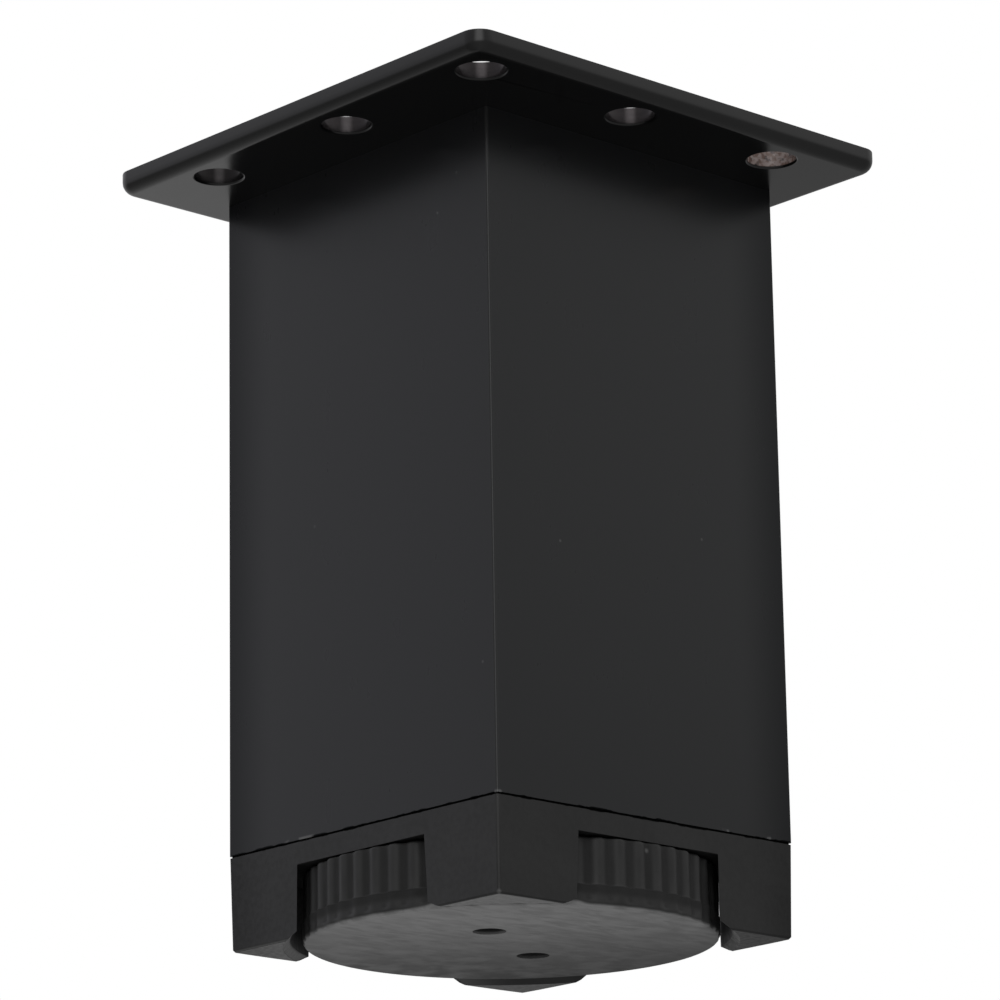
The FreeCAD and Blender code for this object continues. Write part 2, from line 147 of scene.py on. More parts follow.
def new_finish(name):
    """A material with its shader and the places on the piece, in metres from the origin."""
    material = bpy.data.materials.new(name)
    material.use_nodes = True
    tree = material.node_tree
    shader = tree.nodes["Principled BSDF"]
    places = tree.nodes.new("ShaderNodeTexCoord").outputs["Object"]
    return material, tree, shader, places


def relief(tree, shader, height, depth, strength=1.0):
    """Raises a surface by a height pattern."""
    bump = put(tree, "Bump", Strength=strength, Distance=depth, Height=height)
    tree.links.new(bump.outputs["Normal"], shader.inputs["Normal"])


def polish(tree, shader, places, most, sheen_off):
    """A clear sheen that fades out along the outer edges of the faces and wherever a mask takes it off."""
    left_edge = away(tree, places, (-tube_half, -tube_half, 0), UPRIGHT)
    right_edge = away(tree, places, (tube_half, tube_half, 0), UPRIGHT)
    to_edge = calc(tree, "MINIMUM", left_edge, right_edge)
    shine = fade(tree, to_edge, -1 * MM, 9 * MM, 0.0, most)
    coat = calc(tree, "MULTIPLY", shine, calc(tree, "SUBTRACT", 1.0, sheen_off))
    tree.links.new(coat, shader.inputs["Coat Weight"])


def dress(name, material):
    """Gives a piece of the frame its finish."""
    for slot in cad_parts[name].material_slots:
        slot.material = material


fine_grain, given, result = effect(
    "fine_grain",
    [("Vector", "NodeSocketVector"), ("Grains", "NodeSocketFloat")],
    [("Grain", "NodeSocketFloat"), ("Cloud", "NodeSocketFloat")],
)
close = put(fine_grain, "TexNoise", Vector=given.outputs["Vector"], Scale=given.outputs["Grains"], Detail=3.0)
wide = calc(fine_grain, "MULTIPLY", given.outputs["Grains"], 0.06)
cloud = put(fine_grain, "TexNoise", Vector=given.outputs["Vector"], Scale=wide, Detail=3.0)
fine_grain.links.new(close.outputs["Fac"], result.inputs["Grain"])
fine_grain.links.new(cloud.outputs["Fac"], result.inputs["Cloud"])

dust_specks, given, result = effect(
    "dust_specks",
    [
        ("Vector", "NodeSocketVector"),
        ("Cells", "NodeSocketFloat"),
        ("Size", "NodeSocketFloat"),
        ("Share", "NodeSocketFloat"),
    ],
    [("Mask", "NodeSocketFloat")],
)
cells = put(dust_specks, "TexVoronoi", Vector=given.outputs["Vector"], Scale=given.outputs["Cells"])
near = calc(dust_specks, "LESS_THAN", cells.outputs["Distance"], given.outputs["Size"])
chance = put(dust_specks, "SeparateColor", Color=cells.outputs["Color"])
chosen = calc(dust_specks, "LESS_THAN", chance.outputs["Red"], given.outputs["Share"])
dust_specks.links.new(calc(dust_specks, "MULTIPLY", near, chosen), result.inputs["Mask"])

nick_spots = (
    (tube_half, 10.5 * MM, 49.1 * MM),
    (tube_half, -13.9 * MM, 44.8 * MM),
    (15.8 * MM, -tube_half, 86.9 * MM),
    (22.8 * MM, -tube_half, 28.4 * MM),
)
nick_reach = 0.24 * MM
tube_shade_depth = 0.17 * MM
tube_black = (0.0022, 0.0023, 0.0028, 1)
anodised, tree, shader, places = new_finish("anodised_black")
grain = use_effect(tree, fine_grain, Vector=places, Grains=2600.0)
specks = use_effect(tree, dust_specks, Vector=places, Cells=110.0, Size=0.022, Share=0.6)
height = put(tree, "SeparateXYZ", Vector=places).outputs["Z"]
sawn_end = fade(tree, height, tube_low.z + 0.4 * MM, tube_low.z + 0.15 * MM)
ragged = fade(tree, noise(tree, places, 700.0, 3.0), 0.42, 0.55)
burrs = fade(tree, noise(tree, places, 160.0, 4.0), 0.66, 0.72)
for x, y, reach in burr_spots:
    burrs = calc(tree, "MAXIMUM", burrs, fade(tree, away(tree, places, (x, y, tube_low.z)), reach, 0.6 * reach))
burred = calc(tree, "MULTIPLY", sawn_end, calc(tree, "MULTIPLY", burrs, ragged))
pale = calc(tree, "MAXIMUM", calc(tree, "MULTIPLY", specks.outputs["Mask"], 0.35), burred)
for spot in nick_spots:
    nick = fade(tree, away(tree, places, spot), nick_reach, 0.5 * nick_reach, 0.0, 0.5)
    pale = calc(tree, "MAXIMUM", pale, nick)
# Painted highlight: the base turns paler along the near upright edge.
leading_edge = away(tree, places, (tube_half, -tube_half, 0), UPRIGHT)
skin = tint(tree, fade(tree, leading_edge, 0.45 * MM, 0.2 * MM), tube_black, grey(0.0095))
# Painted shade along the seam: a ragged strip at the tube's lower end is made nearly black and metallic.
seam_shade_reach = fade(tree, noise(tree, places, 380.0, 4.0), 0.45, 0.68, 0.0, tube_shade_depth)
over_seam = calc(tree, "SUBTRACT", calc(tree, "SUBTRACT", height, tube_low.z), seam_shade_reach)
tube_seam_shade = calc(tree, "MULTIPLY", fade(tree, over_seam, 0.05 * MM, -0.02 * MM), calc(tree, "SUBTRACT", 1.0, burred))
skin = tint(tree, pale, skin, grey(0.06))
tree.links.new(tint(tree, tube_seam_shade, skin, grey(0.0005)), shader.inputs["Base Color"])
tree.links.new(calc(tree, "MULTIPLY", tube_seam_shade, 0.9), shader.inputs["Metallic"])
die_lines = noise(tree, places, 600.0, 2.0, (1, 1, 0.01))
mixed = calc(tree, "ADD", calc(tree, "MULTIPLY", die_lines, 0.5), grain.outputs["Cloud"])
tree.links.new(fade(tree, mixed, 0.4, 1.1, 0.27, 0.30), shader.inputs["Roughness"])
polish(tree, shader, places, 0.43, tube_seam_shade)
shader.inputs["Coat Roughness"].default_value = 0.28
shader.inputs["Specular IOR Level"].default_value = 0.26
shader.inputs["IOR"].default_value = 1.5
shader.inputs["Specular Tint"].default_value = (0.94, 0.97, 1.0, 1)
relief(tree, shader, grain.outputs["Grain"], 0.004 * MM, 0.3)
dress("leg_tube", anodised)

# End cap
# One black plastic moulding: a plug inside the tube, four corner feet and a round pocket for the wheel.
# Its skin is matte and mottled. The undersides of the feet are painted paler as light from below, most at the
# corner below the fixing holes. Painted shade darkens the pocket's walls and the seam under the tube, and painted
# highlights lighten the near edge and the left side of the pocket's mouth.
cap_seam = tube_low.z
cap_shade_depth = 0.14 * MM
mouth_radius = 27.85 * MM
mouth_height = 0.95 * MM
cap_plastic, tree, shader, places = new_finish("cap_plastic")
grain = use_effect(tree, fine_grain, Vector=places, Grains=1500.0)
specks = use_effect(tree, dust_specks, Vector=places, Cells=160.0, Size=0.025, Share=0.5)
mottle = fade(tree, grain.outputs["Cloud"], 0.3, 0.7)
skin = tint(tree, mottle, grey(0.0045), grey(0.0075))
axes = put(tree, "SeparateXYZ", Vector=places)
wide = calc(tree, "MAXIMUM", calc(tree, "ABSOLUTE", axes.outputs["X"]), calc(tree, "ABSOLUTE", axes.outputs["Y"]))
inner = fade(tree, wide, tube_half - 0.2 * MM, tube_half - 0.6 * MM)
# Painted shade: the walls deep in the wheel's pocket are darkened.
round_axis = fade(tree, away(tree, places, (0, 0, 0), UPRIGHT), mouth_radius, mouth_radius - 0.2 * MM)
deep = fade(tree, axes.outputs["Z"], 0.6 * MM, 3.4 * MM, 0.2, 1.0)
pocket_shade = calc(tree, "MULTIPLY", calc(tree, "MULTIPLY", inner, round_axis), deep)
# Painted shade along the seam under the tube, nearly black and metallic.
seam_shade_reach = fade(tree, noise(tree, places, 340.0, 4.0), 0.45, 0.68, 0.0, cap_shade_depth)
under_seam = calc(tree, "ADD", calc(tree, "SUBTRACT", axes.outputs["Z"], cap_seam - 0.25 * MM), seam_shade_reach)
cap_seam_shade = fade(tree, under_seam, 0.0, 0.08 * MM)
cap_shade = calc(tree, "MAXIMUM", pocket_shade, cap_seam_shade)
# Painted highlight: the base turns paler along the near upright edge.
leading_edge = away(tree, places, (tube_half, -tube_half, 0), UPRIGHT)
skin = tint(tree, fade(tree, leading_edge, 0.55 * MM, 0.2 * MM), skin, grey(0.013))
skin = tint(tree, cap_shade, skin, grey(0.004))
tree.links.new(calc(tree, "MULTIPLY", cap_seam_shade, 0.8), shader.inputs["Metallic"])
knock = fade(tree, away(tree, places, (tube_half, -tube_half, 0)), 0.9 * MM, 0.5 * MM)
pale = calc(tree, "MAXIMUM", calc(tree, "MULTIPLY", specks.outputs["Mask"], 0.3), knock)
# Painted light from below: the undersides of the feet are paler, most toward the near corner.
toward_corner = calc(tree, "SUBTRACT", axes.outputs["X"], axes.outputs["Y"])
on_floor = fade(tree, axes.outputs["Z"], 0.08 * MM, 0.02 * MM)
painted_underlight = calc(tree, "MULTIPLY", on_floor, fade(tree, toward_corner, 5 * MM, 50 * MM, 0.14, 1.0))
skin = tint(tree, painted_underlight, skin, grey(0.092))
# Painted highlight on the left side of the pocket's rounded mouth.
on_mouth = calc(tree, "MULTIPLY", inner, fade(tree, axes.outputs["Z"], mouth_height, mouth_height - 0.2 * MM))
sideways = calc(tree, "ADD", axes.outputs["X"], axes.outputs["Y"])
off_floor = calc(tree, "SUBTRACT", 1.0, on_floor)
left_mouth = calc(tree, "MULTIPLY", on_mouth, fade(tree, sideways, 0.0, -20 * MM))
right_mouth = calc(tree, "MULTIPLY", on_mouth, fade(tree, sideways, 5 * MM, 20 * MM))
mouth_highlight = calc(tree, "MULTIPLY", left_mouth, off_floor)
skin = tint(tree, mouth_highlight, skin, grey(0.07))
tree.links.new(tint(tree, pale, skin, grey(0.06)), shader.inputs["Base Color"])
satin = fade(tree, grain.outputs["Grain"], 0.3, 0.7, 0.42, 0.56)
tree.links.new(calc(tree, "ADD", satin, calc(tree, "MULTIPLY", cap_shade, 0.4)), shader.inputs["Roughness"])
polish(tree, shader, places, 0.33, calc(tree, "MAXIMUM", cap_shade, right_mouth))
shader.inputs["Coat Roughness"].default_value = 0.48
shader.inputs["Specular IOR Level"].default_value = 0.33
relief(tree, shader, grain.outputs["Grain"], 0.012 * MM, 0.6)
dress("end_cap", cap_plastic)

# Adjuster nut
# A zinc plated steel hexagon nut, pressed up into the nest of the cap before the bolt is screwed in.
# Only its lower face could be seen, with the wheel taken off.
dark_zinc = (0.50, 0.52, 0.55, 1)
pale_zinc = (0.66, 0.67, 0.68, 1)


def metal(name, grains, colours, metallic, sheen, depth):
    """A finish of plated or oiled metal: clouded between two colours, with a fine grain in its sheen and relief."""
    material, tree, shader, places = new_finish(name)
    grain = use_effect(tree, fine_grain, Vector=places, Grains=grains)
    tree.links.new(tint(tree, grain.outputs["Cloud"], *colours), shader.inputs["Base Color"])
    shader.inputs["Metallic"].default_value = metallic
    tree.links.new(fade(tree, grain.outputs["Grain"], 0.3, 0.7, *sheen), shader.inputs["Roughness"])
    relief(tree, shader, grain.outputs["Grain"], depth, 0.5)
    return material


zinc = metal("zinc_plated_steel", 900.0, (dark_zinc, pale_zinc), 1.0, (0.25, 0.42), 0.01 * MM)
dress("adjuster_nut", zinc)

# Adjuster bolt
# A zinc plated steel bolt with a rolled thread. Its head is moulded into the wheel, and its shank runs up
# through the nut, with a groove near the end for the stop ring.
bolt_low, bolt_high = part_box("adjuster_bolt")
ring_low, ring_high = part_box("stop_ring")
hex_corner = bolt_high.x
hex_turn = math.radians(30)
head_height = 6.4 * MM
head_edge = 0.3 * MM
thread_radius = 5.0 * MM
thread_root = 4.1 * MM
thread_pitch = 1.5 * MM
neck_radius = 4.1 * MM
bolt_point = 0.7 * MM
point_edge = 0.5 * MM
overlap = 0.1 * MM


def select_only(*pieces):
    """Selects these objects and nothing else, the first one active."""
    bpy.ops.object.select_all(action="DESELECT")
    for piece in pieces:
        piece.select_set(True)
    bpy.context.view_layer.objects.active = pieces[0]


def settled(name, piece):
    """Names a piece and keeps its place in its mesh."""
    piece.name = name
    select_only(piece)
    bpy.ops.object.transform_apply(location=True, rotation=True, scale=True)
    return piece


def rod(name, radius, low, high, x=0.0, y=0.0, sides=64, turn=0.0):
    """An upright bar between two heights."""
    bpy.ops.object.select_all(action="DESELECT")
    bpy.ops.mesh.primitive_cylinder_add(
        vertices=sides, radius=radius, depth=high - low, location=(x, y, (low + high) / 2), rotation=(0, 0, turn)
    )
    return settled(name, bpy.context.object)


def drawn(name, points):
    """A line of edges, drawn by extruding one corner from point to point."""
    bpy.ops.object.select_all(action="DESELECT")
    bpy.ops.mesh.primitive_plane_add(size=MM, location=points[0])
    piece = settled(name, bpy.context.object)
    bpy.ops.object.mode_set(mode="EDIT")
    bpy.ops.mesh.select_all(action="SELECT")
    bpy.ops.mesh.merge(type="CENTER")
    for start, end in zip(points, points[1:]):
        step = Vector(end) - Vector(start)
        bpy.ops.mesh.extrude_vertices_move(TRANSFORM_OT_translate={"value": step})
    bpy.ops.object.mode_set(mode="OBJECT")
    return piece


def applied(piece, kind, **settings):
    """Adds a modifier to a piece and applies it."""
    modifier = piece.modifiers.new("shape", kind)
    for name, value in settings.items():
        setattr(modifier, name, value)
    select_only(piece)
    bpy.ops.object.modifier_apply(modifier="shape")


def wound(piece, steps, turns=1, rise=0.0):
    """Turns a drawn line about the leg's axis, rising with every turn."""
    applied(
        piece,
        "SCREW",
        axis="Z",
        angle=math.tau,
        screw_offset=rise,
        iterations=turns,
        steps=steps,
        render_steps=steps,
        use_merge_vertices=True,
        merge_threshold=0.001 * MM,
    )


def tidy_faces(piece, angle=35):
    """Turns the faces outwards and smooths the shallow edges."""
    select_only(piece)
    bpy.ops.object.mode_set(mode="EDIT")
    bpy.ops.mesh.select_all(action="SELECT")
    bpy.ops.mesh.normals_make_consistent(inside=False)
    bpy.ops.object.mode_set(mode="OBJECT")
    bpy.ops.object.shade_smooth_by_angle(angle=math.radians(angle))


def trimmed(piece, low, high):
    """Saws a piece off square at two heights and closes the ends."""
    select_only(piece)
    bpy.ops.object.mode_set(mode="EDIT")
    for level, side in ((low, -1), (high, 1)):
        bpy.ops.mesh.select_all(action="SELECT")
        bpy.ops.mesh.bisect(plane_co=(0, 0, level), plane_no=(0, 0, side), use_fill=True, clear_outer=True)
    bpy.ops.object.mode_set(mode="OBJECT")


def threaded(name, low, high):
    """A length of rolled thread between two heights."""
    start = low - 2 * thread_pitch
    crest = thread_pitch / 8
    flank = thread_pitch * 5 / 16
    points = [
        (thread_root, 0, start),
        (thread_radius, 0, start + flank),
        (thread_radius, 0, start + flank + crest),
        (thread_root, 0, start + 2 * flank + crest),
        (thread_root, 0, start + thread_pitch),
    ]
    piece = drawn(name, points)
    wound(piece, 40, math.ceil((high - low) / thread_pitch) + 3, thread_pitch)
    trimmed(piece, low, high)
    return piece


head_top = bolt_low.z + head_height
shank = threaded("bolt_shank", head_top - overlap, ring_low.z)
tip = threaded("bolt_tip", ring_high.z, bolt_high.z - bolt_point)
point = rod("bolt_point", thread_root, bolt_high.z - bolt_point - overlap, bolt_high.z)
neck = rod("bolt_neck", neck_radius, ring_low.z - overlap, ring_high.z + overlap)
head = rod("bolt_head", hex_corner, bolt_low.z, head_top, sides=6, turn=hex_turn)
applied(head, "BEVEL", width=head_edge, segments=2)
applied(point, "BEVEL", width=point_edge, segments=1, limit_method="ANGLE")
for part in (shank, tip, point, neck, head):
    tidy_faces(part)
select_only(shank, tip, point, neck, head)
bpy.ops.object.join()
shank.name = "threaded_bolt"
shank.data.materials.append(zinc)
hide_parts("adjuster_bolt")
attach(shank, "adjuster")

# Stop ring
# An open ring of dark spring steel, snapped into the bolt's groove so that the wheel can't be wound right out.
# It is left oiled from hardening.
spring_steel = metal("spring_steel", 1400.0, (grey(0.06), grey(0.11, 0.01)), 1.0, (0.3, 0.45), 0.008 * MM)
dress("stop_ring", spring_steel)

# Adjuster wheel
# Black moulded plastic with a fluted rim to grip, a line of flash round it where the two halves of the mould met,
# and a scratched, slightly hollow sole with two spanner holes. A hub inside holds the head of the bolt.
# Painted shade darkens the flutes' grooves and the band under the flash, and a faint painted highlight runs along
# the flash. The sole, and the rim's lower edge at the near corner, are painted paler as light from below, most
# toward the near corner.
wheel_low, wheel_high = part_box("adjuster_wheel")
rim_play = 0.08 * MM
wheel_radius = wheel_high.x - rim_play
sole_level = wheel_low.z
hub_top = wheel_high.z
rim_top = hub_top - 0.28 * MM
flash_level = sole_level + 2.8 * MM
rim_inner = 22.9 * MM
grip_radius = 24 * MM
web_level = sole_level + 2.4 * MM
hub_radius = 11.85 * MM
nest_corner = 9.35 * MM
rib_count = 8
rib_half = 0.8 * MM
rib_top = rim_top - 0.6 * MM
rib_edge = 0.3 * MM
rib_ends = 0.5 * MM
rib_sink = 0.2 * MM
flute_count = 56
flute_steps = 12
flute_turn = 8
flute_depth = 0.4 * MM
faint_level = 1.2 * MM
lower_play = 0.02 * MM
lower_rim = wheel_high.x - lower_play
lower_rings = (1.3 * MM, 2.0 * MM, flash_level - 0.08 * MM)
upper_ring = 5.5 * MM
sole_edge = 0.7 * MM
top_edge = 0.4 * MM
edge_steps = 5
soft_angle = 40
spanner_spot = Vector((4.55 * MM, -7.88 * MM))
spanner_radius = 2.1 * MM
spanner_top = 1.8 * MM


def rounded(centre_r, centre_z, radius, first, last, count):
    """Points along an arc of a turned profile, between two angles in degrees."""
    points = []
    for i in range(count + 1):
        angle = math.radians(first + (last - first) * i / count)
        points.append((centre_r + radius * math.cos(angle), 0, centre_z + radius * math.sin(angle)))
    return points


def block(name, low, high):
    """A block between two opposite corners."""
    bpy.ops.object.select_all(action="DESELECT")
    bpy.ops.mesh.primitive_cube_add(size=1, location=(low + high) / 2)
    bpy.context.object.scale = high - low
    return settled(name, bpy.context.object)


def cut(piece, tool):
    """Takes the shape of a tool out of a piece."""
    applied(piece, "BOOLEAN", object=tool, operation="DIFFERENCE", solver="EXACT")
    bpy.data.objects.remove(tool)


def pick(piece, kind, test):
    """Opens a piece for editing with the corners, edges or faces selected that pass a test."""
    select_only(piece)
    bpy.ops.object.mode_set(mode="EDIT")
    bpy.ops.mesh.select_mode(type=kind)
    bpy.ops.mesh.select_all(action="DESELECT")
    bpy.ops.object.mode_set(mode="OBJECT")
    mesh = piece.data
    if kind == "VERT":
        for vertex in mesh.vertices:
            vertex.select = test(vertex.co)
    elif kind == "EDGE":
        for edge in mesh.edges:
            edge.select = test(*[mesh.vertices[i].co for i in edge.vertices])
    else:
        for face in mesh.polygons:
            face.select = test(face.center, face.normal)
    bpy.ops.object.mode_set(mode="EDIT")


def eased(piece, test, width, segments):
    """Rounds the edges of a piece that pass a test."""
    pick(piece, "EDGE", test)
    bpy.ops.mesh.bevel(offset=width, segments=segments, affect="EDGES")
    bpy.ops.object.mode_set(mode="OBJECT")


profile = [(0, 0, sole_level)]
profile += rounded(lower_rim - sole_edge, sole_level + sole_edge, sole_edge, -90, 0, edge_steps)
profile += [(lower_rim, 0, ring) for ring in lower_rings]
profile += [(wheel_radius, 0, flash_level - 0.03 * MM), (wheel_radius, 0, flash_level + 0.08 * MM)]
rim_radius = wheel_radius - 0.03 * MM
profile += [(rim_radius, 0, flash_level + 0.16 * MM), (rim_radius, 0, upper_ring)]
profile += rounded(rim_radius - top_edge, rim_top - top_edge, top_edge, 0, 90, edge_steps)
profile += [(rim_inner, 0, rim_top), (rim_inner, 0, web_level), (hub_radius, 0, web_level)]
profile += [(hub_radius, 0, hub_top), (0, 0, hub_top)]
wheel = drawn("fluted_wheel", profile)
wound(wheel, flute_count * flute_steps)


def flute_phase(place):
    """Which step of a flute a corner of the wheel lies on, counted from the middle of a groove."""
    turn = math.atan2(place.y, place.x) / math.tau * flute_count * flute_steps
    step = (round(turn) - flute_turn) % flute_steps
    return min(step, flute_steps - step)


flash_foot = flash_level - 0.06 * MM
grooved = (
    (flash_foot, rim_top + MM, 1.0),
    (faint_level, flash_foot, 0.8),
    (sole_level + 0.25 * MM, faint_level, 0.4),
)
for low, high, share in grooved:
    for phase in range(flute_steps // 2):
        depth = share * flute_depth * (0.5 + 0.5 * math.cos(math.tau * phase / flute_steps))
        shrink = 1 - depth / wheel_radius
        pick(wheel, "VERT", lambda c: low < c.z < high and c.xy.length > grip_radius and flute_phase(c) == phase)
        bpy.ops.transform.resize(value=(shrink, shrink, 1), center_override=(0, 0, 0))
        bpy.ops.object.mode_set(mode="OBJECT")
for side in (1, -1):
    at = spanner_spot * side
    cut(wheel, rod("spanner_tool", spanner_radius, sole_level - MM, spanner_top, at.x, at.y, sides=48))
cut(wheel, rod("nest_tool", nest_corner, bolt_low.z, hub_top + MM, sides=6, turn=hex_turn))
tidy_faces(wheel, soft_angle)
rib_low = Vector((hub_radius - rib_ends, -rib_half, web_level - rib_sink))
rib_high = Vector((rim_inner + rib_ends, rib_half, rib_top))
first_rib = block("wheel_rib", rib_low, rib_high)
eased(first_rib, lambda a, b: min(a.z, b.z) > web_level + MM and abs(a.y - b.y) < rib_half, rib_edge, 3)
tidy_faces(first_rib, soft_angle)
ribs = [first_rib]
for i in range(1, rib_count):
    rib = first_rib.copy()
    rib.data = first_rib.data.copy()
    bpy.context.scene.collection.objects.link(rib)
    rib.rotation_euler = (0, 0, math.tau * i / rib_count)
    ribs.append(settled("wheel_rib", rib))
select_only(wheel, *ribs)
bpy.ops.object.join()

rim_nick = (wheel_radius, -1.1 * MM, 7.9 * MM)
wheel_plastic, tree, shader, places = new_finish("wheel_plastic")
grain = use_effect(tree, fine_grain, Vector=places, Grains=1300.0)
axes = put(tree, "SeparateXYZ", Vector=places)
height = axes.outputs["Z"]
streaks = noise(tree, places, 240.0, 6.0)
across = away(tree, places, (0, 0, 0), UPRIGHT)
# Painted shade in the grooves of the flutes and in the band under the flash.
in_groove = fade(tree, across, wheel_radius - 0.12 * MM, wheel_radius - 0.4 * MM)
on_side = fade(tree, height, sole_level + 0.1 * MM, sole_level + 0.5 * MM)
under_flash = calc(
    tree,
    "MULTIPLY",
    fade(tree, height, 1.4 * MM, 2.4 * MM),
    fade(tree, height, flash_level, flash_level - 0.1 * MM),
)
wheel_shade = calc(tree, "MULTIPLY", on_side, calc(tree, "MAXIMUM", in_groove, under_flash))
mottle = fade(tree, streaks, 0.3, 0.7)
skin = tint(tree, mottle, grey(0.015), grey(0.022))
skin = tint(tree, wheel_shade, skin, grey(0.012))
# Painted light from below: the sole is paler toward the near corner, with real scratches and streaks in it.
toward_corner = calc(tree, "SUBTRACT", axes.outputs["X"], axes.outputs["Y"])
painted_underlight = fade(tree, toward_corner, -45 * MM, 48 * MM)
scratches = noise(tree, places, 700.0, 4.0, (1, 0.3, 1), 0.6)
patchy = calc(tree, "MULTIPLY", painted_underlight, fade(tree, streaks, 0.25, 0.75, 0.72, 1.28))
patchy = calc(tree, "MULTIPLY", patchy, fade(tree, scratches, 0.25, 0.75, 0.75, 1.25))
sole_skin = tint(tree, patchy, grey(0.006), grey(0.155))
# The sole's painted light reaches up the rim's rounded lower edge at the near corner, as a painted highlight.
underlit_rim = fade(tree, toward_corner, 33 * MM, 36.5 * MM, 0.0, 0.7 * MM)
above_sole = fade(tree, calc(tree, "SUBTRACT", height, underlit_rim), sole_level + 0.1 * MM, sole_level + 0.5 * MM)
skin = tint(tree, above_sole, sole_skin, skin)
# Painted highlight: a faint paler line, in patches, along the flash.
on_flash = fade(tree, calc(tree, "ABSOLUTE", calc(tree, "SUBTRACT", height, flash_level)), 0.2 * MM, 0.1 * MM)
flash_highlight = fade(tree, noise(tree, places, 260.0, 2.0), 0.48, 0.62, 0.1, 0.8)
nick = fade(tree, away(tree, places, rim_nick), 0.6 * MM, 0.2 * MM)
pale = calc(tree, "MAXIMUM", calc(tree, "MULTIPLY", on_flash, calc(tree, "MULTIPLY", flash_highlight, 0.06)), nick)
tree.links.new(tint(tree, pale, skin, grey(0.16)), shader.inputs["Base Color"])
satin = fade(tree, streaks, 0.35, 0.65, 0.42, 0.58)
tree.links.new(calc(tree, "ADD", satin, calc(tree, "MULTIPLY", wheel_shade, 0.3)), shader.inputs["Roughness"])
shader.inputs["Specular IOR Level"].default_value = 0.31
dish = calc(tree, "MULTIPLY", calc(tree, "MULTIPLY", across, across), 0.8)
textured = calc(tree, "MULTIPLY", grain.outputs["Grain"], 0.008 * MM)
relief(tree, shader, calc(tree, "ADD", dish, textured), 1.0)
wheel.data.materials.clear()
wheel.data.materials.append(wheel_plastic)
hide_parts("adjuster_wheel")
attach(wheel, "adjuster")

# Mounting plate
# Pressed steel plate, rounded along its lower edge and sprayed semi-gloss black. The five fixing holes flare at the
# top and were drilled after spraying, so their walls show bare steel. Four counterbores take the plate screws.
plate_low, plate_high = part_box("mounting_plate")
_, screw_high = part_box("plate_screws")
hair = 0.01 * MM
corner_radius = 2.5 * MM
lower_round = 1.6 * MM
upper_round = 0.15 * MM
fixing_radius = 3.1 * MM
fixing_rim = 0.3 * MM
flare_reach = 1.25 * MM
flare_depth = 0.5 * MM
fixing_inset = 5.8 * MM
fixing_pitch = 25.0 * MM
sink_radius = 4.2 * MM
sink_level = screw_high.z - 1.6 * MM
screw_hole_radius = 2.25 * MM
screw_place = screw_high.x - 4.0 * MM
first_x = plate_high.x - fixing_inset
first_y = plate_low.y + fixing_inset
fixing_spots = [(first_x - i * fixing_pitch, first_y) for i in range(3)]
fixing_spots += [(first_x, first_y + i * fixing_pitch) for i in (1, 2)]
plate = block("rounded_plate", plate_low, plate_high)
eased(plate, lambda a, b: abs(a.z - b.z) > MM, corner_radius, 10)
for level, radius, segments in ((plate_low.z, lower_round, 7), (plate_high.z, upper_round, 2)):
    eased(plate, lambda a, b: max(abs(a.z - level), abs(b.z - level)) < hair, radius, segments)
flare = 1 + flare_reach / fixing_radius
for x, y in fixing_spots:
    drill = rod("fixing_tool", fixing_radius, plate_low.z - MM, plate_high.z - flare_depth, x, y, sides=72)
    pick(drill, "FACE", lambda c, n: n.z > 0.9)
    bpy.ops.mesh.extrude_region_move(TRANSFORM_OT_translate={"value": (0, 0, flare_depth)})
    bpy.ops.transform.resize(value=(flare, flare, 1), center_override=(x, y, plate_high.z))
    bpy.ops.mesh.extrude_region_move(TRANSFORM_OT_translate={"value": (0, 0, MM)})
    bpy.ops.object.mode_set(mode="OBJECT")
    cut(plate, drill)
for x in (-screw_place, screw_place):
    for y in (-screw_place, screw_place):
        cut(plate, rod("screw_tool", screw_hole_radius, plate_low.z - MM, plate_high.z + MM, x, y, sides=40))
        cut(plate, rod("sink_tool", sink_radius, sink_level, plate_high.z + MM, x, y, sides=56))


def in_bore(place, slack):
    """Whether a place lies inside or on the wall of a fixing hole."""
    gaps = [math.hypot(place.x - x, place.y - y) for x, y in fixing_spots]
    return min(gaps) < fixing_radius + slack


def on_lower_rim(a, b):
    """Whether an edge lies on the lower rim of a fixing hole."""
    return in_bore(a, 0.05 * MM) and in_bore(b, 0.05 * MM) and max(a.z, b.z) < plate_low.z + hair


eased(plate, on_lower_rim, fixing_rim, 3)
tidy_faces(plate, soft_angle)
applied(plate, "WEIGHTED_NORMAL", weight=100, keep_sharp=True)

plate_paint, tree, shader, places = new_finish("plate_paint")
grain = use_effect(tree, fine_grain, Vector=places, Grains=1200.0)
specks = use_effect(tree, dust_specks, Vector=places, Cells=140.0, Size=0.02, Share=0.4)
pale = calc(tree, "MULTIPLY", specks.outputs["Mask"], 0.3)
tree.links.new(tint(tree, pale, grey(0.0012), grey(0.15)), shader.inputs["Base Color"])
tree.links.new(fade(tree, grain.outputs["Cloud"], 0.3, 0.7, 0.17, 0.23), shader.inputs["Roughness"])
shader.inputs["Specular IOR Level"].default_value = 0.58
relief(tree, shader, grain.outputs["Grain"], 0.004 * MM, 0.4)
plate.data.materials.append(plate_paint)


def around_hole(tree, places, spot):
    """A mask for one of the fixing holes."""
    return fade(tree, away(tree, places, (*spot, 0), UPRIGHT), 5 * MM, 4 * MM)


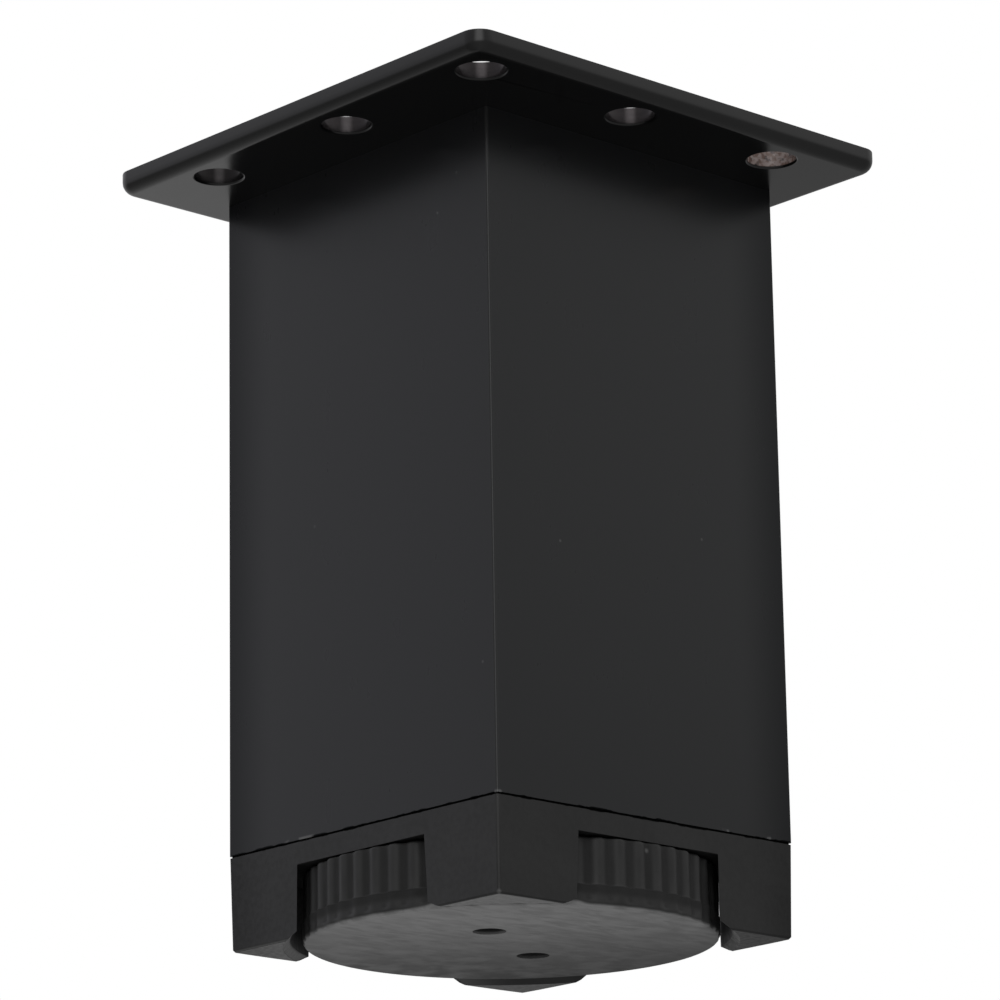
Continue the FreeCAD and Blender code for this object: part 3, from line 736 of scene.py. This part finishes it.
dark_bore = (0.031, 0.0295, 0.031, 1)
pale_bore = (0.072, 0.063, 0.065, 1)
dark_rust = (0.10, 0.062, 0.05, 1)
pale_rust = (0.21, 0.17, 0.16, 1)
bore_steel, tree, shader, places = new_finish("drilled_steel")
grain = use_effect(tree, fine_grain, Vector=places, Grains=1600.0)
drilled = noise(tree, places, 500.0, 3.0, (1, 1, 4))
rusty_hole = around_hole(tree, places, fixing_spots[4])
rust = calc(tree, "MULTIPLY", rusty_hole, fade(tree, noise(tree, places, 1300.0, 4.0), 0.30, 0.48))
bare = tint(tree, drilled, dark_bore, pale_bore)
# One hole's bore is darker.
darker_hole = around_hole(tree, places, fixing_spots[2])
bare = tint(tree, calc(tree, "MULTIPLY", darker_hole, 0.6), bare, grey(0.01))
crust = fade(tree, noise(tree, places, 1700.0, 2.0), 0.38, 0.62)
scale = tint(tree, crust, dark_rust, pale_rust)
tree.links.new(tint(tree, rust, bare, scale), shader.inputs["Base Color"])
tree.links.new(calc(tree, "SUBTRACT", 0.85, calc(tree, "MULTIPLY", rust, 0.8)), shader.inputs["Metallic"])
tree.links.new(fade(tree, grain.outputs["Grain"], 0.3, 0.7, 0.15, 0.24), shader.inputs["Roughness"])
relief(tree, shader, drilled, 0.02 * MM, 0.3)
plate.data.materials.append(bore_steel)
pick(plate, "FACE", lambda c, n: in_bore(c, 0.02 * MM) and abs(n.z) < 0.1)
plate.active_material_index = 1
bpy.ops.object.material_slot_assign()
bpy.ops.object.mode_set(mode="OBJECT")
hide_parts("mounting_plate")
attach(plate, "leg")

# Plate screws
# Four black oxide socket screws, let into the plate and driven into the ports of the tube.
# The oxide is a little worn on the heads.
black_oxide = metal("black_oxide_steel", 1500.0, (grey(0.03), grey(0.06)), 0.9, (0.35, 0.5), 0.008 * MM)
dress("plate_screws", black_oxide)

# Floor
# The leg stands on a plain pale floor, which the low camera looks through from below.
# It takes the leg's shadow and throws no light of its own on the black parts.
floor_side = 8.0
floor_level = -0.3 * MM
bpy.ops.object.select_all(action="DESELECT")
bpy.ops.mesh.primitive_plane_add(size=floor_side, location=(0, 0, floor_level))
floor = bpy.context.object
floor.name = "floor"
floor_paint = bpy.data.materials.new("pale_floor")
floor_paint.use_nodes = True
tree = floor_paint.node_tree
shader = tree.nodes["Principled BSDF"]
shader.inputs["Base Color"].default_value = grey(0.9)
shader.inputs["Roughness"].default_value = 0.7
side = tree.nodes.new("ShaderNodeNewGeometry")
clear = tree.nodes.new("ShaderNodeBsdfTransparent")


def show_either(tree, output, factor, first, second):
    """Shows one of two shaders, or a mix of them."""
    either = tree.nodes.new("ShaderNodeMixShader")
    for socket, value in zip(either.inputs, (factor, first, second)):
        feed(tree, socket, value)
    tree.links.new(either.outputs["Shader"], tree.nodes[output].inputs["Surface"])


show_either(tree, "Material Output", side.outputs["Backfacing"], shader.outputs["BSDF"], clear.outputs["BSDF"])
floor.data.materials.append(floor_paint)
for ray in ("diffuse", "glossy", "transmission", "shadow"):
    setattr(floor, "visible_" + ray, False)

# Studio
# A grey curtain stands round the leg and gives its black faces their form: pale above the floor at both sides, dark
# below it, paler behind the leg at the left than at the right, and with a bright strip behind the camera.
camera_turn = math.radians(47.278)
hem_slope = -0.1
hem_low = -0.12
hem_high = 0.20
curtain_radius = 1.0
curtain_height = 2.4
bpy.ops.object.select_all(action="DESELECT")
bpy.ops.mesh.primitive_cylinder_add(vertices=96, radius=curtain_radius, depth=curtain_height, location=(0, 0, 0))
curtain = bpy.context.object
curtain.name = "grey_curtain"
curtain_cloth = bpy.data.materials.new("grey_curtain")
curtain_cloth.use_nodes = True
tree = curtain_cloth.node_tree
tree.nodes.remove(tree.nodes["Principled BSDF"])
places = tree.nodes.new("ShaderNodeTexCoord").outputs["Object"]
faced = put(tree, "Mapping", Vector=places, Rotation=(0, 0, math.radians(90) - camera_turn))
around = tree.nodes.new("ShaderNodeTexGradient")
around.gradient_type = "RADIAL"
tree.links.new(faced.outputs["Vector"], around.inputs["Vector"])


def shades(stops):
    """Grey levels round the curtain: 0 is behind the leg, a quarter its left, a half the camera's side."""
    ramp = tree.nodes.new("ShaderNodeValToRGB")
    tree.links.new(around.outputs["Fac"], ramp.inputs["Fac"])
    ends = ramp.color_ramp.elements
    ends[0].position, ends[0].color = 0.0, grey(stops[0][1])
    ends[1].position, ends[1].color = 1.0, grey(stops[0][1])
    for place, level, *blue in stops[1:]:
        ends.new(place).color = grey(level, *blue)
    return ramp.outputs["Color"]


upper = shades(
    [
        (0.0, 0.40),
        (0.06, 0.50, 0.02),
        (0.20, 0.63, 0.03),
        (0.228, 0.59, 0.03),
        (0.245, 0.475, 0.02),
        (0.29, 0.415, 0.02),
        (0.42, 0.38),
        (0.47, 1.45),
        (0.53, 1.45),
        (0.58, 0.38),
        (0.70, 0.55),
        (0.78, 0.55),
        (0.95, 0.30),
    ]
)
lower = shades(
    [
        (0.0, 0.40),
        (0.012, 0.52),
        (0.06, 0.50),
        (0.15, 0.34),
        (0.25, 0.18),
        (0.5, 0.35),
        (0.75, 0.26),
        (0.85, 0.24),
        (0.95, 0.25),
        (0.988, 0.25),
    ]
)
level = put(tree, "SeparateXYZ", Vector=places).outputs["Z"]
to_right = put(tree, "SeparateXYZ", Vector=faced.outputs["Vector"]).outputs["Y"]
hem = calc(tree, "ADD", level, calc(tree, "MULTIPLY", to_right, hem_slope))
glow = put(tree, "Emission", Color=tint(tree, fade(tree, hem, hem_low, hem_high), lower, upper))
tree.links.new(glow.outputs["Emission"], tree.nodes["Material Output"].inputs["Surface"])
curtain.data.materials.append(curtain_cloth)
for ray in ("camera", "diffuse", "transmission", "shadow"):
    setattr(curtain, "visible_" + ray, False)

world = bpy.data.worlds.new("studio")
world.use_nodes = True
bpy.context.scene.world = world
tree = world.node_tree
room = tree.nodes["Background"]
room.inputs["Color"].default_value = grey(0.75)
white = put(tree, "Background", Color=grey(1.0))
rays = tree.nodes.new("ShaderNodeLightPath")
seen = calc(tree, "MAXIMUM", rays.outputs["Is Camera Ray"], rays.outputs["Is Glossy Ray"])
seen = calc(tree, "MAXIMUM", seen, rays.outputs["Is Transmission Ray"])
show_either(tree, "World Output", seen, room.outputs["Background"], white.outputs["Background"])

key_place = Vector((0.60, -0.55, 0.45))
key_aim = Vector((0, 0, 0.05))
key_lamp = bpy.data.lights.new("key_box", "AREA")
key_lamp.size = 0.5
key_lamp.energy = 1.2
key_box = bpy.data.objects.new("key_box", key_lamp)
bpy.context.scene.collection.objects.link(key_box)
key_box.location = key_place
key_box.rotation_euler = (key_aim - key_place).to_track_quat("-Z", "Y").to_euler()
key_box.visible_glossy = False

# Camera
# It stands low, a little under the level of the feet, and looks up at the corner with the fixing holes.
# The long lens keeps the leg's edges nearly upright.
camera_place = (0.434895, -0.402302, -0.107067)
camera_lift = math.radians(15.551)
camera_roll = math.radians(-0.968)
camera = bpy.data.cameras.new("camera")
camera.lens = 172.98
camera.sensor_width = 36.0
camera.clip_start = 0.01
view = bpy.data.objects.new("camera", camera)
bpy.context.scene.collection.objects.link(view)
aim = (
    Matrix.Rotation(camera_turn, 4, "Z")
    @ Matrix.Rotation(math.radians(90) + camera_lift, 4, "X")
    @ Matrix.Rotation(camera_roll, 4, "Z")
)
view.matrix_world = Matrix.Translation(camera_place) @ aim
bpy.context.scene.camera = view
bpy.context.scene.view_settings.view_transform = "Standard"
